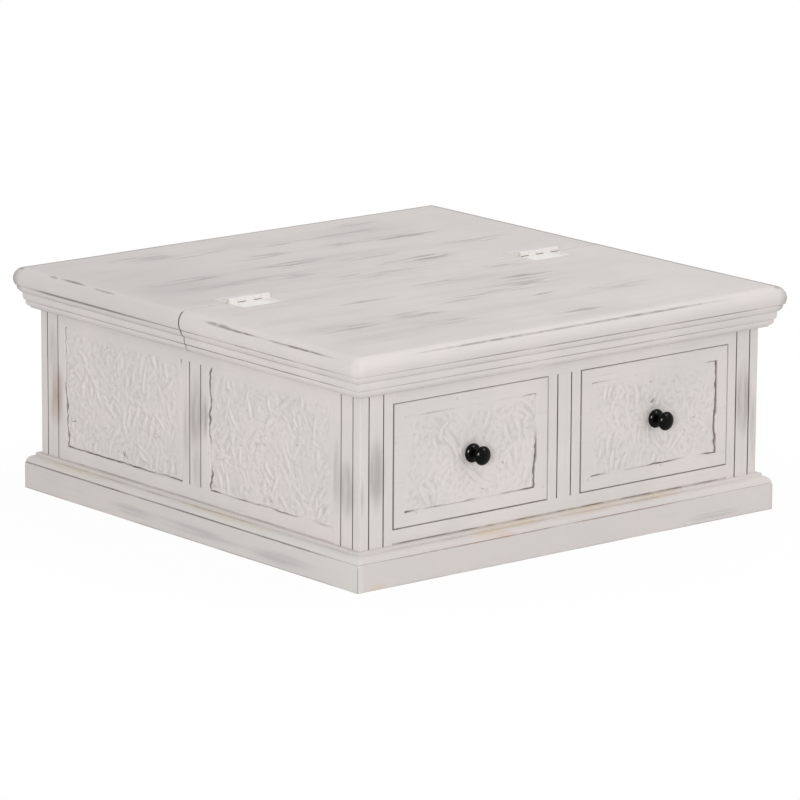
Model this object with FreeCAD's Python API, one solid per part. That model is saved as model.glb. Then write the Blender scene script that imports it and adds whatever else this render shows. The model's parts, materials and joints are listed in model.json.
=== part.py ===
import FreeCAD, Part
import math
import os

# Square storage coffee table of painted wood. A framed carcass stands on a moulded plinth and holds two
# drawers at the front. The moulded top is cut in two: the front half is fixed, and the rear half is a lid
# that lifts on butt hinges over a storage well.
# Millimetres. The origin is on the floor under the middle, +Z is up, and the drawers face -Y.

# Carcass
carcass_side = 650.0          # across the outer faces of the corner posts, both ways
table_height = 291.0          # floor to the top surface
post_width = 51.0             # square section of a corner post
post_arris = 1.5              # rounding of a post's outer edge
frame_thickness = 22.0        # rails and middle stiles
mid_stile_width = 52.0
top_rail_height = 36.0
bottom_rail_height = 17.2
bottom_rail_gap = 0.8         # shadow line between plinth and bottom rail
groove_spacing = 22.5         # between the two sunk lines of a post or stile
groove_width = 2.4
groove_depth = 1.8
tenon_length = 20.0           # of a rail in a post
tenon_thickness = 8.0
tenon_shoulder = 3.0          # above and below a rail's tenon, and beside a stile's
stile_tenon_length = 9.0      # of a middle stile in a rail

# Carved panels of the sides and the rear
panel_recess = 2.0            # face of the panel behind the face of the frame
panel_thickness = 14.0
panel_gap = 0.8               # open line around the panel
panel_chamfer = 1.5
tongue_length = 6.0           # reach of the panel's tongue into the frame
tongue_thickness = 6.0
tongue_clearance = 0.2

# Plinth
plinth_projection = 15.5      # in front of the posts, which is also the board's thickness
plinth_board_height = 34.0
plinth_cap_height = 13.0
plinth_ovolo_height = 9.0     # rounded lower part of the cap
plinth_ovolo_reach = 7.5      # how far the cap still projects above its rounding
plinth_fillet_reach = 5.8     # projection of the small flat at the head of the cap
plinth_ovolo_fullness = 0.8   # of a quarter round
plinth_cap_arris = 1.0

# Top
top_overhang = 25.0           # beyond the posts
top_thickness = 33.0
top_split = 1.6               # saw cut between the two halves
nose_reach = 12.0             # how far in from the edge the rounding of the nose starts
nose_rise = 15.0              # from the widest part of the nose up to the top surface
nose_foot_setback = 2.0       # lower end of the nose behind the edge
bead_height = 8.7             # small moulding under the nose
bead_setback = 3.2
bead_fullness = 0.5           # of a quarter round
board_foot_setback = 7.8      # lower corner of the board behind the edge
quirk = 0.7                   # depth of the sunk lines between mouldings

# Moulding under the top
moulding_height = 20.0
moulding_setback = 8.6        # behind the edge of the top
moulding_band_height = 10.3   # upper, nearly upright part
moulding_band_taper = 1.2
moulding_band_fullness = 0.33  # of a quarter round
moulding_ovolo_setback = 2.8  # head of the lower rounding behind the band
moulding_foot_reach = 9.0     # projection of the lower edge
moulding_foot_height = 1.5
lid_clearance = 0.4           # between the lid's mouldings and the carcass

# Boards inside the carcass
bottom_thickness = 8.0
bottom_edge_inset = 6.0       # behind the outer faces of the rails
divider_thickness = 18.0      # between drawers and well
partition_thickness = 18.0    # between the two drawers

# Drawers
drawer_gap = 1.2              # open line around a drawer front
drawer_front_thickness = 20.0
drawer_front_arris = 0.8
drawer_border = 17.4          # plain frame around the carved panel
insert_gap = 0.6              # open line around the carved panel
insert_depth = 10.0           # pocket for the carved panel
insert_recess = 1.0           # face of the carved panel behind the face of the front
drawer_side_thickness = 12.0
drawer_side_gap = 2.0         # between the drawer's side and the edge of its opening
drawer_side_drop = 6.0        # head of the side below the head of the opening
drawer_back_thickness = 12.0
drawer_back_drop = 10.0       # head of the back below the heads of the sides
drawer_bottom_thickness = 5.0
drawer_bottom_lift = 8.0      # above the lower edge of the sides
drawer_bottom_groove = 5.0
drawer_stop_clearance = 0.3   # between the shut drawer and the divider
runner_width = 21.0
runner_clearance = 0.3
guide_height = 20.0           # above the runner
guide_clearance = 1.0
kicker_height = 22.0
kicker_clearance = 1.0

# Knobs
knob_projection = 27.5
knob_bead_radius = 12.0
knob_bead_round = 5.5         # from the widest part of the bead to its tip
knob_neck_radius = 5.0
knob_rose_radius = 12.0
knob_rose_round = 4.6         # of the rose, alike
knob_rose_middle = 3.6        # widest part of the rose in front of the carved panel
knob_stud_radius = 2.5
knob_stud_end = 6.0           # behind the drawer front
knob_stud_clearance = 0.3
knob_facets = 28              # flats round the knob
knob_bead_steps = 12          # rows of flats on the bead
knob_rose_steps = 8           # and on the rose

# Hinges
hinge_left_place = 241.0      # from the middle of the table
hinge_right_place = 236.0
hinge_length = 64.0
hinge_knuckles = 5
hinge_leaf_width = 32.0       # from the pin to the edge of the leaf
hinge_leaf_thickness = 1.4
hinge_knuckle_radius = 3.7
hinge_knuckle_gap = 0.3
hinge_pin_radius = 1.6
hinge_pin_clearance = 0.05
hinge_pin_end = 0.8           # past the last knuckle
hinge_clearance = 0.4         # between the hinge and the top that it is let into
hinge_slot_clearance = 1.0    # between a knuckle and its slot in the other leaf

# Levels and planes that follow from the sizes
half = carcass_side / 2
inner_face = half - frame_thickness
top_half = half + top_overhang
reach = top_half + plinth_projection
carcass_top = table_height - top_thickness
plinth_top = plinth_board_height + plinth_cap_height
rail_foot = plinth_top + bottom_rail_gap
opening_foot = rail_foot + bottom_rail_height
opening_head = carcass_top - top_rail_height
opening_near = mid_stile_width / 2
opening_far = half - post_width
divider_face = divider_thickness / 2
quarter_round = (math.sqrt(2) - 1) / 2
sides = ("front", "right", "rear", "left")
panel_ends = {"right": ("rear", "front"), "rear": ("left", "right"), "left": ("front", "rear")}


def vector(x, y, z):
    return FreeCAD.Vector(x, y, z)


def block(low, high):
    size = vector(*high) - vector(*low)
    return Part.makeBox(size.x, size.y, size.z, vector(*low))


def grown(low, high, margin):
    return block([value - margin for value in low], [value + margin for value in high])


def rod(radius, start, end):
    axis = vector(*end) - vector(*start)
    return Part.makeCylinder(radius, axis.Length, vector(*start), axis)


def turned(shape, quarters):
    """The same piece on another side of the square table."""
    moved = shape.copy()
    moved.rotate(vector(0, 0, 0), vector(0, 0, 1), 90 * quarters)
    return moved


def mirrored(shape):
    """The same piece on the other side of the middle of the front."""
    return shape.mirror(vector(0, 0, 0), vector(1, 0, 0))


def outline(points, place):
    """A face through points (a, b, bulge), counter-clockwise. The bulge is the rise of the arc that leads
    to the point, as a share of its chord, and outward is positive."""
    edges = []
    for (a0, b0, unused), (a1, b1, bulge) in zip(points[-1:] + points[:-1], points):
        start = place(a0, b0)
        end = place(a1, b1)
        if bulge:
            middle = place((a0 + a1) / 2 + (b1 - b0) * bulge, (b0 + b1) / 2 - (a1 - a0) * bulge)
            edges.append(Part.Arc(start, middle, end).toShape())
        else:
            edges.append(Part.LineSegment(start, end).toShape())
    return Part.Face(Part.Wire(edges))


def save(name, *solids):
    shape = solids[0] if len(solids) == 1 else Part.makeCompound(list(solids))
    shape.exportStep("parts/" + name + ".step")


os.makedirs("parts", exist_ok=True)

# Frame of one side, in its place at the front
rail_tenon_face = -half + (frame_thickness - tenon_thickness) / 2
rail_tenon_back = rail_tenon_face + tenon_thickness


def rail_body(foot, head):
    return block((-opening_far, -half, foot), (opening_far, -inner_face, head))


def rail_tenons(foot, head):
    low = (opening_far, rail_tenon_face, foot + tenon_shoulder)
    high = (opening_far + tenon_length, rail_tenon_back, head - tenon_shoulder)
    tenon = block(low, high)
    return [tenon, mirrored(tenon)]


def stile_tenons():
    width = opening_near - tenon_shoulder
    feet = (opening_foot - stile_tenon_length, opening_head)
    boxes = [((-width, rail_tenon_face, z), (width, rail_tenon_back, z + stile_tenon_length)) for z in feet]
    return [block(low, high) for low, high in boxes]


def sunk_line(x):
    """The three corners of one sunk line in a face at -half, from left to right."""
    corners = ((-groove_width / 2, 0), (0, groove_depth), (groove_width / 2, 0))
    return [(x + across, -half + deep, 0) for across, deep in corners]


def mid_stile():
    left = [(-opening_near, -inner_face, 0), (-opening_near, -half, 0)]
    right = [(opening_near, -half, 0), (opening_near, -inner_face, 0)]
    section = left + sunk_line(-groove_spacing / 2) + sunk_line(groove_spacing / 2) + right
    face = outline(section, lambda x, y: vector(x, y, opening_foot))
    body = face.extrude(vector(0, 0, opening_head - opening_foot))
    return body.fuse(stile_tenons())


def panel_field_box():
    face = -half + panel_recess
    low = (opening_near + panel_gap, face, opening_foot + panel_gap)
    high = (opening_far - panel_gap, face + panel_thickness, opening_head - panel_gap)
    return low, high


def tongue_boxes():
    """The tongue as two crossing boxes, so that it stops short of the corners, where the tenons are."""
    face = -half + panel_recess + (panel_thickness - tongue_thickness) / 2
    back = face + tongue_thickness
    low = (opening_near + panel_gap, face, opening_foot - tongue_length)
    high = (opening_far - panel_gap, back, opening_head + tongue_length)
    upright = (low, high)
    low = (opening_near - tongue_length, face, opening_foot + panel_gap)
    high = (opening_far + tongue_length, back, opening_head - panel_gap)
    level = (low, high)
    return [upright, level]


def front_edges(solid, y):
    return [e for e in solid.Edges if all(abs(v.Point.y - y) < 1e-6 for v in e.Vertexes)]


def carved_panel():
    low, high = panel_field_box()
    field = block(low, high)
    field = field.makeChamfer(panel_chamfer, front_edges(field, low[1]))
    return field.fuse([block(*box) for box in tongue_boxes()]).removeSplitter()


def tongue_grooves():
    cuts = [grown(low, high, tongue_clearance) for low, high in tongue_boxes()]
    return cuts + [mirrored(cut) for cut in cuts]


# Rails, middle stiles and carved panels of the four sides
top_tenons = rail_tenons(opening_head, carcass_top)
bottom_tenons = rail_tenons(rail_foot, opening_foot)
post_cuts = []
for quarters, side in enumerate(sides):
    grooves = [] if side == "front" else tongue_grooves()
    top_rail = rail_body(opening_head, carcass_top).cut(stile_tenons() + grooves).fuse(top_tenons)
    bottom_rail = rail_body(rail_foot, opening_foot).cut(stile_tenons() + grooves).fuse(bottom_tenons)
    stile = mid_stile()
    if grooves:
        stile = stile.cut(grooves)
        for end, panel in zip(panel_ends[side], (carved_panel(), mirrored(carved_panel()))):
            save("carved_panel_" + side + "_" + end, turned(panel, quarters))
    save("top_rail_" + side, turned(top_rail, quarters))
    save("bottom_rail_" + side, turned(bottom_rail, quarters))
    save("mid_stile_" + side, turned(stile, quarters))
    post_cuts += [turned(cut, quarters) for cut in top_tenons + bottom_tenons + grooves]

# Corner posts, with mortises for the rails and grooves for the panels
post_middle = half - post_width / 2


def corner_post():
    """The post at the front left, with sunk lines in both outer faces and a rounded outer edge."""
    inner = -opening_far
    line_places = (-post_middle - groove_spacing / 2, -post_middle + groove_spacing / 2)
    front_lines = sunk_line(line_places[0]) + sunk_line(line_places[1])
    side_lines = [(y, x, 0) for x, y, bulge in reversed(front_lines)]
    corner = [(-half, -half + post_arris, 0), (-half + post_arris, -half, quarter_round)]
    section = [(inner, -half, 0), (inner, inner, 0), (-half, inner, 0)]
    section = section + side_lines + corner + front_lines
    face = outline(section, lambda x, y: vector(x, y, 0))
    return face.extrude(vector(0, 0, carcass_top))


post_names = ("front_left", "front_right", "rear_right", "rear_left")
for quarters, name in enumerate(post_names):
    save("corner_post_" + name, turned(corner_post(), quarters).cut(post_cuts))

# Plinth boards and cap mouldings, mitred at the corners
mitre_corners = [(0, 0, 0), (-reach, -reach, 0), (reach, -reach, 0)]
mitre_wedge = outline(mitre_corners, lambda x, y: vector(x, y, 0)).extrude(vector(0, 0, table_height))


def mitred_strip(section):
    """A moulding along the front from a section in (projection, height), cut to 45 degrees at both ends."""
    face = outline(section, lambda out, z: vector(-reach, -half - out, z))
    return face.extrude(vector(2 * reach, 0, 0)).common(mitre_wedge)


plinth_board = mitred_strip([
    (0, 0, 0),
    (plinth_projection, 0, 0),
    (plinth_projection, plinth_board_height - quirk, 0),
    (plinth_projection - quirk, plinth_board_height, 0),
    (0, plinth_board_height, 0),
])
ovolo_foot = plinth_board_height + quirk
ovolo_head = plinth_board_height + plinth_ovolo_height
plinth_cap = mitred_strip([
    (0, plinth_board_height, 0),
    (plinth_projection - 2 * quirk, plinth_board_height, 0),
    (plinth_projection - quirk, ovolo_foot, 0),
    (plinth_ovolo_reach, ovolo_head, quarter_round * plinth_ovolo_fullness),
    (plinth_fillet_reach, ovolo_head + quirk / 2, 0),
    (plinth_fillet_reach, plinth_top - plinth_cap_arris, 0),
    (plinth_fillet_reach - plinth_cap_arris, plinth_top, quarter_round),
    (0, plinth_top, 0),
])
for quarters, side in enumerate(sides):
    save("plinth_board_" + side, turned(plinth_board, quarters))
    save("plinth_cap_" + side, turned(plinth_cap, quarters))

# Bottom board, divider and partition
bottom_half = half - bottom_edge_inset
bottom_low = rail_foot - bottom_thickness
bottom_board = block((-bottom_half, -bottom_half, bottom_low), (bottom_half, bottom_half, rail_foot))
post_corner = block((-half, -half, 0), (-opening_far, -opening_far, carcass_top))
save("bottom_board", bottom_board.cut([turned(post_corner, quarters) for quarters in range(4)]))
divider = block((-inner_face, -divider_face, rail_foot), (inner_face, divider_face, carcass_top))
save("well_divider", divider)
partition_half = partition_thickness / 2
partition = block((-partition_half, -inner_face, rail_foot), (partition_half, -divider_face, carcass_top))
save("drawer_partition", partition)

# Runners, guides and kickers of the right drawer, and the same for the left one
drawer_near = opening_near + drawer_side_gap
drawer_far = opening_far - drawer_side_gap
side_foot = opening_foot + drawer_gap
side_head = opening_head - drawer_side_drop
runner_head = side_foot - runner_clearance
guide_near = drawer_near - guide_clearance
guide_far = drawer_far + guide_clearance
guide_head = runner_head + guide_height
kicker_foot = side_head + kicker_clearance
kicker_head = kicker_foot + kicker_height


def strip_along(near, far, foot, head, front):
    return block((near, front, foot), (far, -divider_face, head))


runners = [
    strip_along(guide_near, guide_near + runner_width, rail_foot, runner_head, -inner_face),
    strip_along(guide_far - runner_width, guide_far, rail_foot, runner_head, -inner_face),
]
guides = [
    strip_along(partition_half, guide_near, rail_foot, guide_head, -inner_face),
    strip_along(guide_far, inner_face, rail_foot, guide_head, -opening_far),
]
kickers = [
    strip_along(drawer_near, drawer_near + runner_width, kicker_foot, kicker_head, -inner_face),
    strip_along(drawer_far - runner_width, drawer_far, kicker_foot, kicker_head, -inner_face),
]
for name, strips in (("drawer_runners", runners), ("drawer_guides", guides), ("drawer_kickers", kickers)):
    save(name, *strips, *[mirrored(strip) for strip in strips])

# Top boards: the nose and bead run round the whole top before it is cut in two
bead_head = carcass_top + bead_height
nose_middle = table_height - nose_rise
shoulder_setback = nose_reach * (1 - math.sqrt(0.5))
shoulder_rise = nose_rise * math.sqrt(0.5)


def bulge_from(ahead, aside):
    """The bulge of an arc that sets out straight ahead and ends so far ahead and aside."""
    return math.tan(math.atan2(aside, ahead) / 2) / 2


shoulder_bulge = bulge_from(nose_reach - shoulder_setback, nose_rise - shoulder_rise)
nose_foot_bulge = bulge_from(nose_middle - bead_head - quirk, nose_foot_setback)
nosed_section = [
    (reach, carcass_top, 0),
    (reach, table_height, 0),
    (-top_half + nose_reach, table_height, 0),
    (-top_half + shoulder_setback, nose_middle + shoulder_rise, shoulder_bulge),
    (-top_half, nose_middle, bulge_from(shoulder_rise, shoulder_setback)),
    (-top_half + nose_foot_setback, bead_head + quirk, nose_foot_bulge),
    (-top_half + bead_setback + quirk, bead_head, 0),
    (-top_half + bead_setback, bead_head - quirk, 0),
    (-top_half + board_foot_setback, carcass_top, quarter_round * bead_fullness),
]
nosed_slab = outline(nosed_section, lambda y, z: vector(-reach, y, z)).extrude(vector(2 * reach, 0, 0))
whole_top = nosed_slab
for quarters in (1, 2, 3):
    whole_top = whole_top.common(turned(nosed_slab, quarters))
half_cut = top_split / 2
front_space = block((-reach, -reach, 0), (reach, -half_cut, 2 * table_height))
rear_space = block((-reach, half_cut, 0), (reach, reach, 2 * table_height))

# Hinges: knuckles turn on the pin, and the leaves lie flush in the top. The two hinges are fitted turned
# end for end, so the front leaf has the outer knuckles on the left and the rear leaf on the right.
pin_height = table_height - hinge_leaf_thickness + hinge_knuckle_radius
knuckle_pitch = hinge_length / hinge_knuckles
hinge_start = -hinge_length / 2
knuckle_room = hinge_knuckle_radius + hinge_clearance
slot_room = hinge_knuckle_radius + hinge_slot_clearance


def along_pin(radius, start, end):
    return rod(radius, (start, 0, pin_height), (end, 0, pin_height))


def hinge_leaf(rear, outer):
    """One leaf, at the middle of the table, with the outer knuckles or with those between them."""
    edge = hinge_leaf_width if rear else -hinge_leaf_width
    low = (hinge_start, min(edge, 0), table_height - hinge_leaf_thickness)
    leaf = block(low, (-hinge_start, max(edge, 0), table_height))
    half_gap = hinge_knuckle_gap / 2
    for number in range(hinge_knuckles):
        start = hinge_start + number * knuckle_pitch
        end = start + knuckle_pitch
        if (number % 2 == 0) == outer:
            first = start if number == 0 else start + half_gap
            last = end if number == hinge_knuckles - 1 else end - half_gap
            leaf = leaf.fuse(along_pin(hinge_knuckle_radius, first, last))
        else:
            leaf = leaf.cut(along_pin(slot_room, start - half_gap, end + half_gap))
    return leaf.cut(along_pin(hinge_pin_radius + hinge_pin_clearance, 2 * hinge_start, -2 * hinge_start))


def hinge_room():
    """What is taken out of the top for one hinge."""
    length = hinge_length / 2 + hinge_clearance
    width = hinge_leaf_width + hinge_clearance
    low = (-length, -width, table_height - hinge_leaf_thickness)
    recess = block(low, (length, width, 2 * table_height))
    end = length + hinge_pin_end
    return recess.fuse(along_pin(knuckle_room, -end, end))


def at_hinges(left, right):
    """What belongs to the two hinges, moved to their places."""
    places = ((left, -hinge_left_place), (right, hinge_right_place))
    return [shape.translated(vector(x, 0, 0)) for shape, x in places]


pin_reach = hinge_length / 2 + hinge_pin_end
pin = along_pin(hinge_pin_radius, -pin_reach, pin_reach)
hinge_rooms = at_hinges(hinge_room(), hinge_room())
save("hinge_front_leaves", *at_hinges(hinge_leaf(False, True), hinge_leaf(False, False)))
save("hinge_rear_leaves", *at_hinges(hinge_leaf(True, False), hinge_leaf(True, True)))
save("hinge_pins", *at_hinges(pin, pin))
save("front_top_board", whole_top.common(front_space).cut(hinge_rooms))
save("lid_board", whole_top.common(rear_space).cut(hinge_rooms))

# Mouldings under the two halves of the top
band_reach = top_overhang - moulding_setback
band_foot = carcass_top - moulding_band_height
moulding_foot = carcass_top - moulding_height
ovolo_reach = band_reach - moulding_ovolo_setback


def top_moulding(back, quarters):
    """The moulding of one side, mitred, with its back so far in front of the carcass."""
    strip = mitred_strip([
        (back, moulding_foot, 0),
        (moulding_foot_reach, moulding_foot, 0),
        (moulding_foot_reach, moulding_foot + moulding_foot_height, 0),
        (ovolo_reach, band_foot - quirk, quarter_round),
        (ovolo_reach - quirk, band_foot, 0),
        (band_reach - moulding_band_taper, band_foot + quirk, 0),
        (band_reach, carcass_top - quirk, quarter_round * moulding_band_fullness),
        (band_reach - quirk, carcass_top, 0),
        (back, carcass_top, 0),
    ])
    return turned(strip, quarters)


save("front_top_moulding_front", top_moulding(0, 0))
save("front_top_moulding_right", top_moulding(0, 1).common(front_space))
save("front_top_moulding_left", top_moulding(0, 3).common(front_space))
save("lid_moulding_right", top_moulding(lid_clearance, 1).common(rear_space))
save("lid_moulding_rear", top_moulding(lid_clearance, 2))
save("lid_moulding_left", top_moulding(lid_clearance, 3).common(rear_space))

# Drawers
front_near = opening_near + drawer_gap
front_far = opening_far - drawer_gap
front_foot = opening_foot + drawer_gap
front_head = opening_head - drawer_gap
front_back = -half + drawer_front_thickness
drawer_end = -divider_face - drawer_stop_clearance
floor_foot = side_foot + drawer_bottom_lift
floor_head = floor_foot + drawer_bottom_thickness
insert_face = -half + insert_recess
knob_x = (opening_near + opening_far) / 2
knob_z = (opening_foot + opening_head) / 2


def drawer_side(near):
    return block((near, front_back, side_foot), (near + drawer_side_thickness, drawer_end, side_head))


def turned_round(middle, reach, start, end, steps):
    """Points between the two ends of a turned round, as (radius, projection)."""
    angles = [start + (end - start) * step / steps for step in range(1, steps)]
    return [(middle[0] + reach[0] * math.cos(a), middle[1] + reach[1] * math.sin(a)) for a in angles]


def flat(points):
    return Part.Face(Part.makePolygon(points + points[:1]))


def turned_facets(section, tip):
    """A solid turned about the Y axis from points (radius, projection), with a flat foot and a point."""
    turns = [2 * math.pi * number / knob_facets for number in range(knob_facets)]
    rings = [[vector(r * math.cos(a), -out, r * math.sin(a)) for a in turns] for r, out in section]
    faces = [flat(rings[0])]
    for n in range(knob_facets):
        faces += [flat([low[n - 1], low[n], high[n], high[n - 1]]) for low, high in zip(rings, rings[1:])]
        faces.append(flat([rings[-1][n - 1], rings[-1][n], vector(0, -tip, 0)]))
    return Part.Solid(Part.Shell(faces))


def bead_knob():
    """Rose, neck and flattened bead turned in one, with the stud that holds them."""
    stud = drawer_front_thickness - insert_recess + knob_stud_end
    rose_middle = (0, knob_rose_middle)
    rose_reach = (knob_rose_radius, knob_rose_round)
    rose_start = -math.asin(knob_rose_middle / knob_rose_round)
    rose_end = math.acos(knob_neck_radius / knob_rose_radius)
    rose_head = knob_rose_middle + knob_rose_round * math.sin(rose_end)
    bead_middle = (0, knob_projection - knob_bead_round)
    bead_reach = (knob_bead_radius, knob_bead_round)
    bead_start = -math.acos(knob_neck_radius / knob_bead_radius)
    bead_foot = bead_middle[1] + knob_bead_round * math.sin(bead_start)
    rose_foot = (knob_rose_radius * math.cos(rose_start), 0)
    section = [(knob_stud_radius, -stud), (knob_stud_radius, 0), rose_foot]
    section += turned_round(rose_middle, rose_reach, rose_start, rose_end, knob_rose_steps)
    section += [(knob_neck_radius, rose_head), (knob_neck_radius, bead_foot)]
    section += turned_round(bead_middle, bead_reach, bead_start, math.pi / 2, knob_bead_steps)
    knob = turned_facets(section, knob_projection)
    return knob.translated(vector(knob_x, insert_face, knob_z))


inside_near = drawer_near + drawer_side_thickness
inside_far = drawer_far - drawer_side_thickness
drawer_floor = block(
    (inside_near - drawer_bottom_groove, front_back - drawer_bottom_groove, floor_foot),
    (inside_far + drawer_bottom_groove, drawer_end, floor_head),
)
drawer_front = block((front_near, -half, front_foot), (front_far, front_back, front_head))
drawer_front = drawer_front.makeChamfer(drawer_front_arris, front_edges(drawer_front, -half))
pocket = block(
    (front_near + drawer_border, -half, front_foot + drawer_border),
    (front_far - drawer_border, -half + insert_depth, front_head - drawer_border),
)
stud_start = (knob_x, -half, knob_z)
stud_room = rod(knob_stud_radius + knob_stud_clearance, stud_start, (knob_x, front_back, knob_z))
drawer_front = drawer_front.cut([pocket, stud_room, drawer_floor])
margin = drawer_border + insert_gap
insert = block(
    (front_near + margin, insert_face, front_foot + margin),
    (front_far - margin, -half + insert_depth, front_head - margin),
)
insert = insert.makeChamfer(drawer_front_arris, front_edges(insert, insert_face)).cut(stud_room)
side_near = drawer_side(drawer_near).cut(drawer_floor)
side_far = drawer_side(drawer_far - drawer_side_thickness).cut(drawer_floor)
drawer_back = block(
    (inside_near, drawer_end - drawer_back_thickness, floor_head),
    (inside_far, drawer_end, side_head - drawer_back_drop),
)
for side, place in (("right", lambda shape: shape), ("left", mirrored)):
    save("drawer_" + side + "_front", place(drawer_front))
    save("drawer_" + side + "_carved_panel", place(insert))
    save("drawer_" + side + "_sides", place(side_near), place(side_far))
    save("drawer_" + side + "_back", place(drawer_back))
    save("drawer_" + side + "_bottom", place(drawer_floor))
    save("drawer_" + side + "_knob", place(bead_knob()))
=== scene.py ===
import json
import math

import bmesh
import bpy
import numpy as np
from mathutils import Matrix, Vector, noise

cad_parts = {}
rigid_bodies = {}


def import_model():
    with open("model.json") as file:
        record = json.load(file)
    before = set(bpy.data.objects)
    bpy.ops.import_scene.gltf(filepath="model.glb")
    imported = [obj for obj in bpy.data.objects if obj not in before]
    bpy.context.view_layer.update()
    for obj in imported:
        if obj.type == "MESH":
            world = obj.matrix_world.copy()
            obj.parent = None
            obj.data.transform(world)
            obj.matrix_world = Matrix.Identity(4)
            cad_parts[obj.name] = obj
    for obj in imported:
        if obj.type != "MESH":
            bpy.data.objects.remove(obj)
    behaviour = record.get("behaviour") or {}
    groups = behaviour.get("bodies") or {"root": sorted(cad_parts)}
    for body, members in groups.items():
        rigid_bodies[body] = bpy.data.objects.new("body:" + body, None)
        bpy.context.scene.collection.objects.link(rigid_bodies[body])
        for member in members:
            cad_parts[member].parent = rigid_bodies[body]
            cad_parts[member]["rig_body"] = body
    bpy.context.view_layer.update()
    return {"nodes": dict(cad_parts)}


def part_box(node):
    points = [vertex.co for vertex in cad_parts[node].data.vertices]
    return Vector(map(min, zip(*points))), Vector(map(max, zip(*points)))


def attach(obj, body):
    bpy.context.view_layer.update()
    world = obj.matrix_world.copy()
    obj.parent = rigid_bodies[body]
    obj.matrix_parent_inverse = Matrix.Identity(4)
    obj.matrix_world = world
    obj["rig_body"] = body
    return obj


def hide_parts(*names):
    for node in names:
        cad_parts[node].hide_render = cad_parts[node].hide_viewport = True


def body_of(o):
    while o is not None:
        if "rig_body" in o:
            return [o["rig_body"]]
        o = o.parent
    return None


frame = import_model()
nodes = frame["nodes"]

# Corner posts and middle stiles
# Square posts at the corners and flat stiles in the middle of each side, of solid wood. The rails are
# tenoned into the posts. Each outer face has two sunk lines that keep the brown undercoat, and beside them
# the white chalk paint is rubbed thin by hand.


class Wire:
    """One output in a material's nodes. Python's operators on it add Math nodes: | takes the greater of two
    values and & the lesser."""

    def __init__(self, tree, socket=None):
        self.tree = tree
        self.socket = socket

    def node(self, kind, settings, inputs, output=0):
        """Adds a node: first its settings, then the values or links of its sockets. Gives one output."""
        made = self.tree.nodes.new("ShaderNode" + kind)
        for name, value in settings.items():
            setattr(made, name, value)
        for name, value in inputs.items():
            if isinstance(value, Wire):
                self.tree.links.new(value.socket, made.inputs[name])
            else:
                made.inputs[name].default_value = value
        return Wire(self.tree, made.outputs[output])

    def beside(self, output):
        """Another output of the same node."""
        return Wire(self.tree, self.socket.node.outputs[output])

    def maths(self, operation, first, second):
        return self.node("Math", {"operation": operation}, {0: first, 1: second})

    def __add__(self, other):
        return self.maths("ADD", self, other)

    def __sub__(self, other):
        return self.maths("SUBTRACT", self, other)

    def __mul__(self, other):
        return self.maths("MULTIPLY", self, other)

    def __or__(self, other):
        return self.maths("MAXIMUM", self, other)

    def __and__(self, other):
        return self.maths("MINIMUM", self, other)

    def __radd__(self, other):
        return self.maths("ADD", other, self)

    def __rsub__(self, other):
        return self.maths("SUBTRACT", other, self)

    def __rmul__(self, other):
        return self.maths("MULTIPLY", other, self)

    def __abs__(self):
        return self.maths("ABSOLUTE", self, 0.0)


def tone(red, green, blue):
    """A colour given as it looks on a screen, from 0 to 255, as the linear light that shaders take."""
    shares = [value / 255 for value in (red, green, blue)]
    return tuple(((s + 0.055) / 1.055) ** 2.4 if s > 0.04045 else s / 12.92 for s in shares) + (1.0,)


def rise(value, low, high):
    """0 at low and 1 at high, with soft ends. It falls where low is the greater."""
    settings = {"interpolation_type": "SMOOTHSTEP"}
    return value.node("MapRange", settings, {"Value": value, "From Min": low, "From Max": high})


def stretched(point, scales):
    return point.node("VectorMath", {"operation": "MULTIPLY"}, {0: point, 1: scales})


def along_grain(point, grain, length, breadth):
    """A point whose place is scaled by length along the grain, and by breadth across it."""
    return stretched(point, [length if axis == grain else breadth for axis in range(3)])


def cloud(point, scale, detail):
    return point.node("TexNoise", {}, {"Vector": point, "Scale": scale, "Detail": detail})


def mixed(base, colour, mask):
    """One colour over another. The node takes them in sockets 6 and 7, and gives the mix from socket 2."""
    return mask.node("Mix", {"data_type": "RGBA"}, {0: mask, 6: base, 7: colour}, 2)


def places(point):
    x = point.node("SeparateXYZ", {}, {0: point})
    return x, x.beside(1), x.beside(2)


def spot(point, middle, reach):
    """1 at the middle of an oval place, and 0 outside its reach. All in metres."""
    away = point.node("VectorMath", {"operation": "SUBTRACT"}, {0: point, 1: middle})
    away = away.node("VectorMath", {"operation": "DIVIDE"}, {0: away, 1: reach})
    return rise(away.node("VectorMath", {"operation": "LENGTH"}, {0: away}, 1), 1.0, 0.25)


WHITE = tone(219, 212, 209)
COOL_WHITE = tone(214, 209, 206)
WHITE_SHADE = tone(205, 199, 197)
THIN_WHITE_AND_SHADE = tone(188, 183, 182)
BARE_GREY_AND_SHADE = tone(164, 157, 155)
BARE_BROWN = tone(176, 158, 150)
BARE_UMBER_AND_SHADE = tone(120, 108, 98)
UNDERCOAT_AND_GAP_SHADE = tone(84, 70, 61)
GRAIN_LENGTH = 9.0
GRAIN_BREADTH = 200.0
WOOD_SHEEN = 0.3


def new_finish(name):
    """A new material, its shader, and the point of the surface in metres in the frame."""
    material = bpy.data.materials.new(name)
    material.use_nodes = True
    tree = material.node_tree
    return material, tree.nodes["Principled BSDF"], Wire(tree).node("TexCoord", {}, {}, "Object")


def lay_on(shader, colour, roughness, height, strength, distance):
    """Gives a shader its colour, its roughness and a small relief. distance is the relief's, in metres."""
    bump = height.node("Bump", {}, {"Strength": strength, "Distance": distance, "Height": height})
    for socket, wire in (("Base Color", colour), ("Roughness", roughness), ("Normal", bump)):
        wire.tree.links.new(wire.socket, shader.inputs[socket])


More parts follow.
